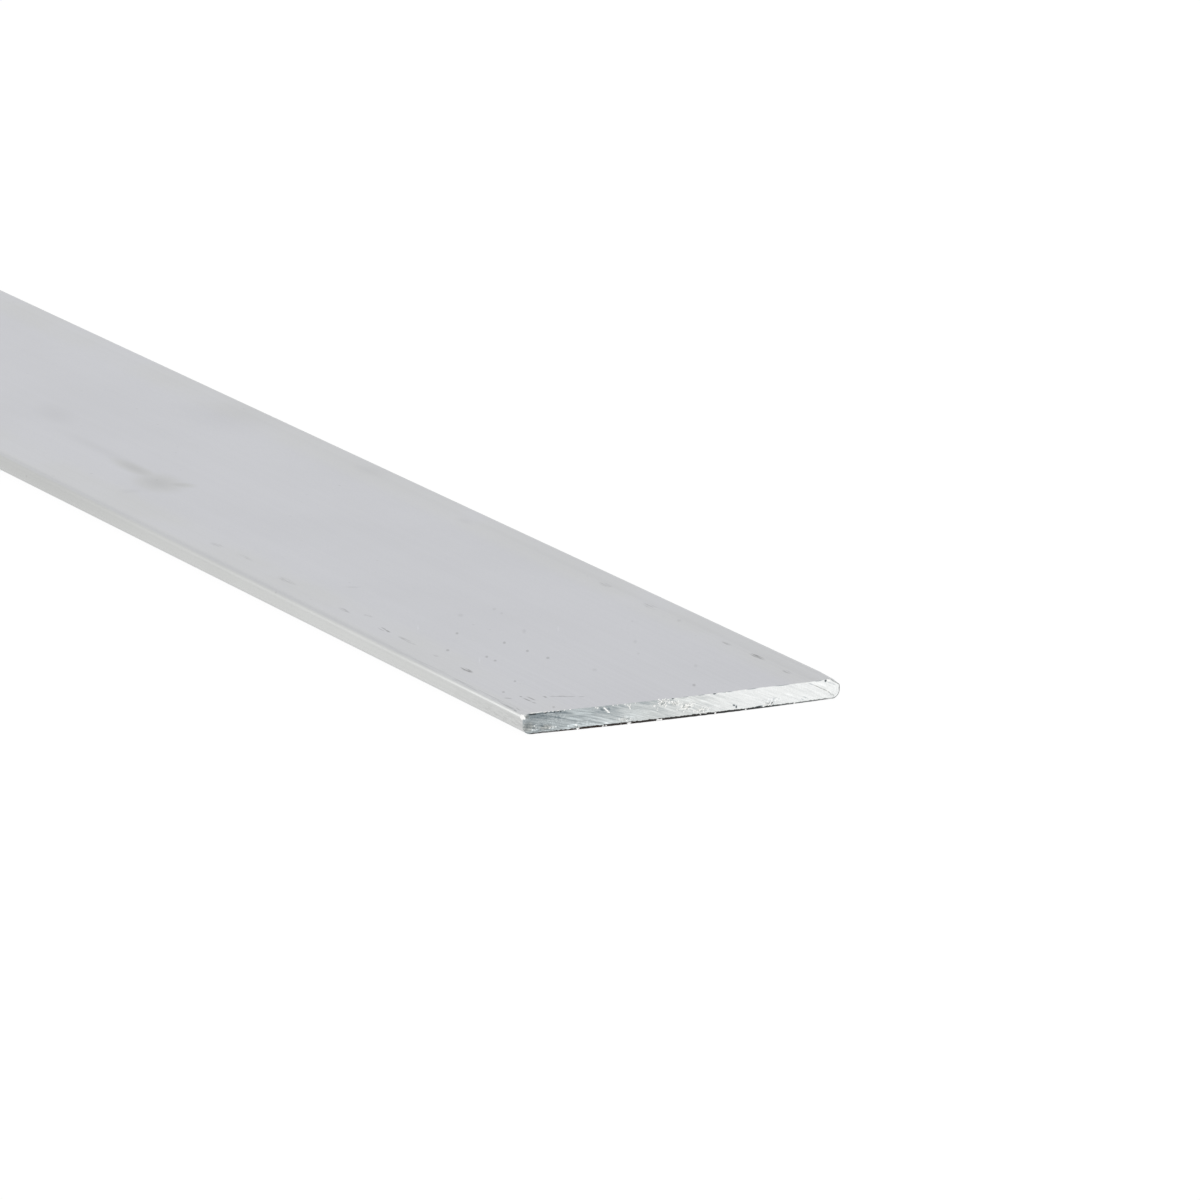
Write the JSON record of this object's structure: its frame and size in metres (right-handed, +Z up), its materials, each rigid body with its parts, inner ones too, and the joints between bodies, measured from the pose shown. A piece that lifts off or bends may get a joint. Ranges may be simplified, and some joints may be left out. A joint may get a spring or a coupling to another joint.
{
  "type": "metal flat bar",
  "caption": "Aluminium flat bar with rounded long edges and square sawn ends, sold as stock for framing, brackets and trim.",
  "frame": {"origin": "middle of the underside, half way along the bar", "axes": "+X along the bar towards the sawn end that the picture shows, +Y across the width, +Z up through the thickness"},
  "size_m": [1, 0.05, 0.003],
  "materials": {
    "mill_aluminium": "mill finish, satin, sawn bright on the ends"
  },
  "bodies": {
    "root": {"flat_bar": "mill_aluminium"}
  },
  "joints": []
}
